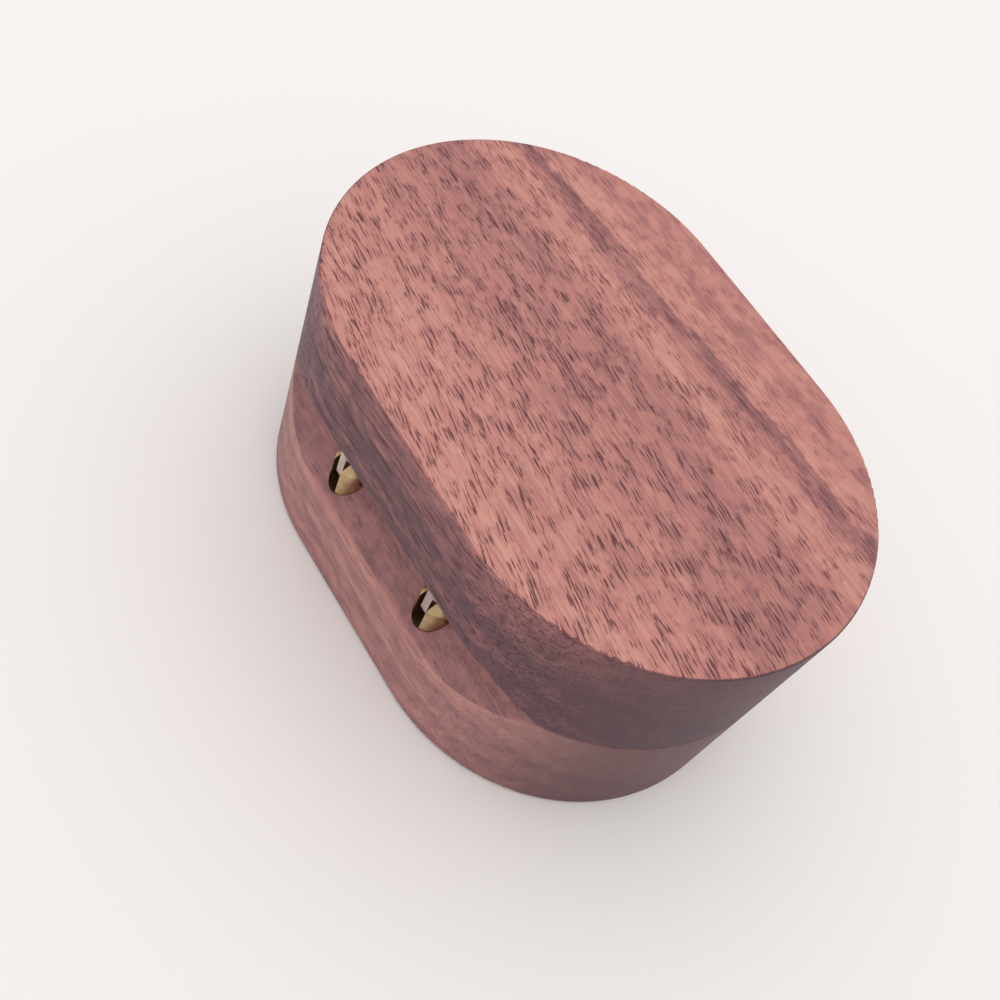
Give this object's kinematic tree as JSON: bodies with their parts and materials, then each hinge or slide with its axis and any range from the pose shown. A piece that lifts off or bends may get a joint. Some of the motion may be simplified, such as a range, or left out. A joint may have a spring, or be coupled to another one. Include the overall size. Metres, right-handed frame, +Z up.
{
  "type": "ring box",
  "caption": "Obround walnut ring box whose lid swings back on concealed barrel hinges exposed by a sloping rear notch, with a velvet ring slot inside.",
  "frame": {"origin": "middle of the underside", "axes": "+X along the box, +Y towards the hinges, +Z up"},
  "size_m": [0.0804, 0.055, 0.04],
  "materials": {
    "walnut": "satin oiled",
    "brass": "satin",
    "steel": "satin",
    "link_steel": "satin",
    "magnet": "nickel plated",
    "lining": "velvet",
    "velvet": "velvet"
  },
  "bodies": {
    "base": {"base_block": "walnut", "base_barrel_left": "brass", "base_barrel_right": "brass", "base_pin_left": "steel", "base_pin_right": "steel", "base_magnet_left": "magnet", "base_magnet_right": "magnet", "base_liner": "lining", "cushion_front": "velvet", "cushion_rear": "velvet"},
    "links": {"link_left": "link_steel", "link_right": "link_steel"},
    "lid": {"lid_block": "walnut", "lid_barrel_left": "brass", "lid_barrel_right": "brass", "lid_pin_left": "steel", "lid_pin_right": "steel", "lid_magnet_left": "magnet", "lid_magnet_right": "magnet", "lid_card": "lining", "lid_pad": "velvet"}
  },
  "joints": [
    {"name": "base_hinge", "type": "hinge", "parent": "base", "child": "links", "pos_m": [0, 0.024, 0.0192], "axis": [-1, 0, 0], "range_deg": [0, 45]},
    {"name": "lid_hinge", "type": "hinge", "parent": "links", "child": "lid", "pos_m": [0, 0.024, 0.0243], "axis": [-1, 0, 0], "range_deg": [0, 45]}
  ],
  "couplings": [
    {"joint": "lid_hinge", "follows": "base_hinge", "ratio": 1}
  ]
}
